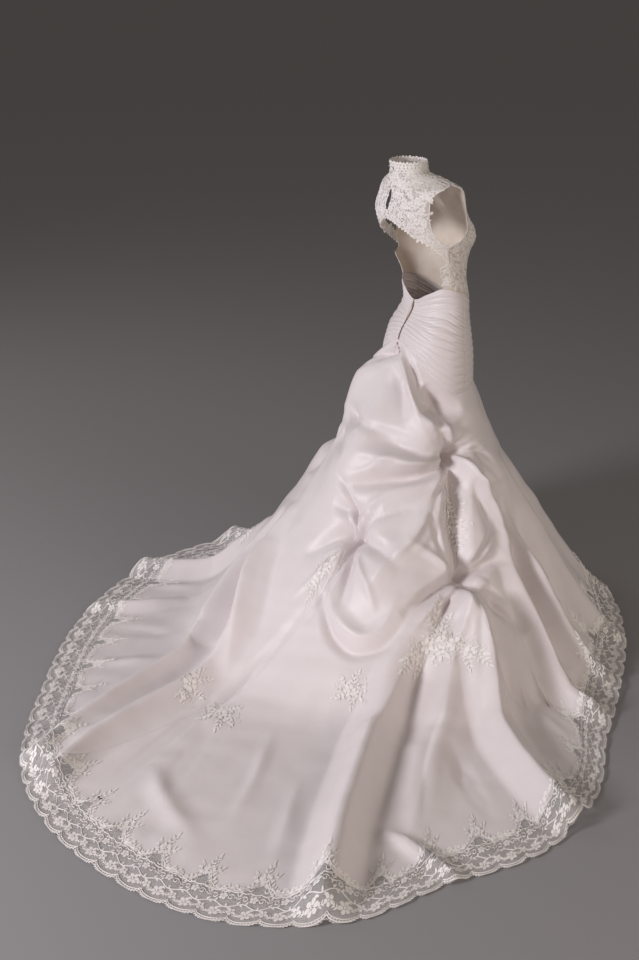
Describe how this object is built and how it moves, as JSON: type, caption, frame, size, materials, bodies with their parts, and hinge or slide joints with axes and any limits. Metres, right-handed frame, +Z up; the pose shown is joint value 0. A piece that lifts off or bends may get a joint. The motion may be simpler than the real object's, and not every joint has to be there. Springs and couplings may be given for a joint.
{
  "type": "wedding dress",
  "caption": "Fit-and-flare gown as worn: lace bodice with open back, ruched hip band, picked-up satin skirt and a lace-edged train lying on the floor.",
  "frame": {"origin": "between the wearer's shoulders, over the waist's centre line moved back, 1.45 m above the floor that the train lies on", "axes": "+Z up, -Y the way the wearer faces, +X the wearer's left; the train runs back along +Y"},
  "size_m": [2.0452, 2.1722, 1.5143],
  "materials": {
    "satin": "warm ivory satin with a soft sheen",
    "lace": "corded ivory lace on fine net, beaded",
    "zip_metal": "dull gold-brown",
    "pearl": "pearl"
  },
  "bodies": {
    "root": {"bodice_front": "lace", "yoke_back_left": "lace", "yoke_back_right": "lace", "collar": "lace", "collar_button": "pearl", "hip_band_front": "satin", "hip_band_back_left": "satin", "hip_band_back_right": "satin", "zip_chain": "zip_metal", "zip_slider": "zip_metal", "cover_button_1": "pearl", "cover_button_2": "pearl", "cover_button_3": "pearl", "skirt_front": "satin", "skirt_back_left": "satin", "skirt_back_right": "satin", "lace_hem_front": "lace", "lace_hem_back_left": "lace", "lace_hem_back_right": "lace", "applique_winged_right": "lace", "applique_pleat_right": "lace", "applique_spray_right": "lace", "applique_tack_right": "lace", "applique_tack_left": "lace", "applique_seam_left": "lace", "applique_winged_left": "lace"}
  },
  "joints": []
}
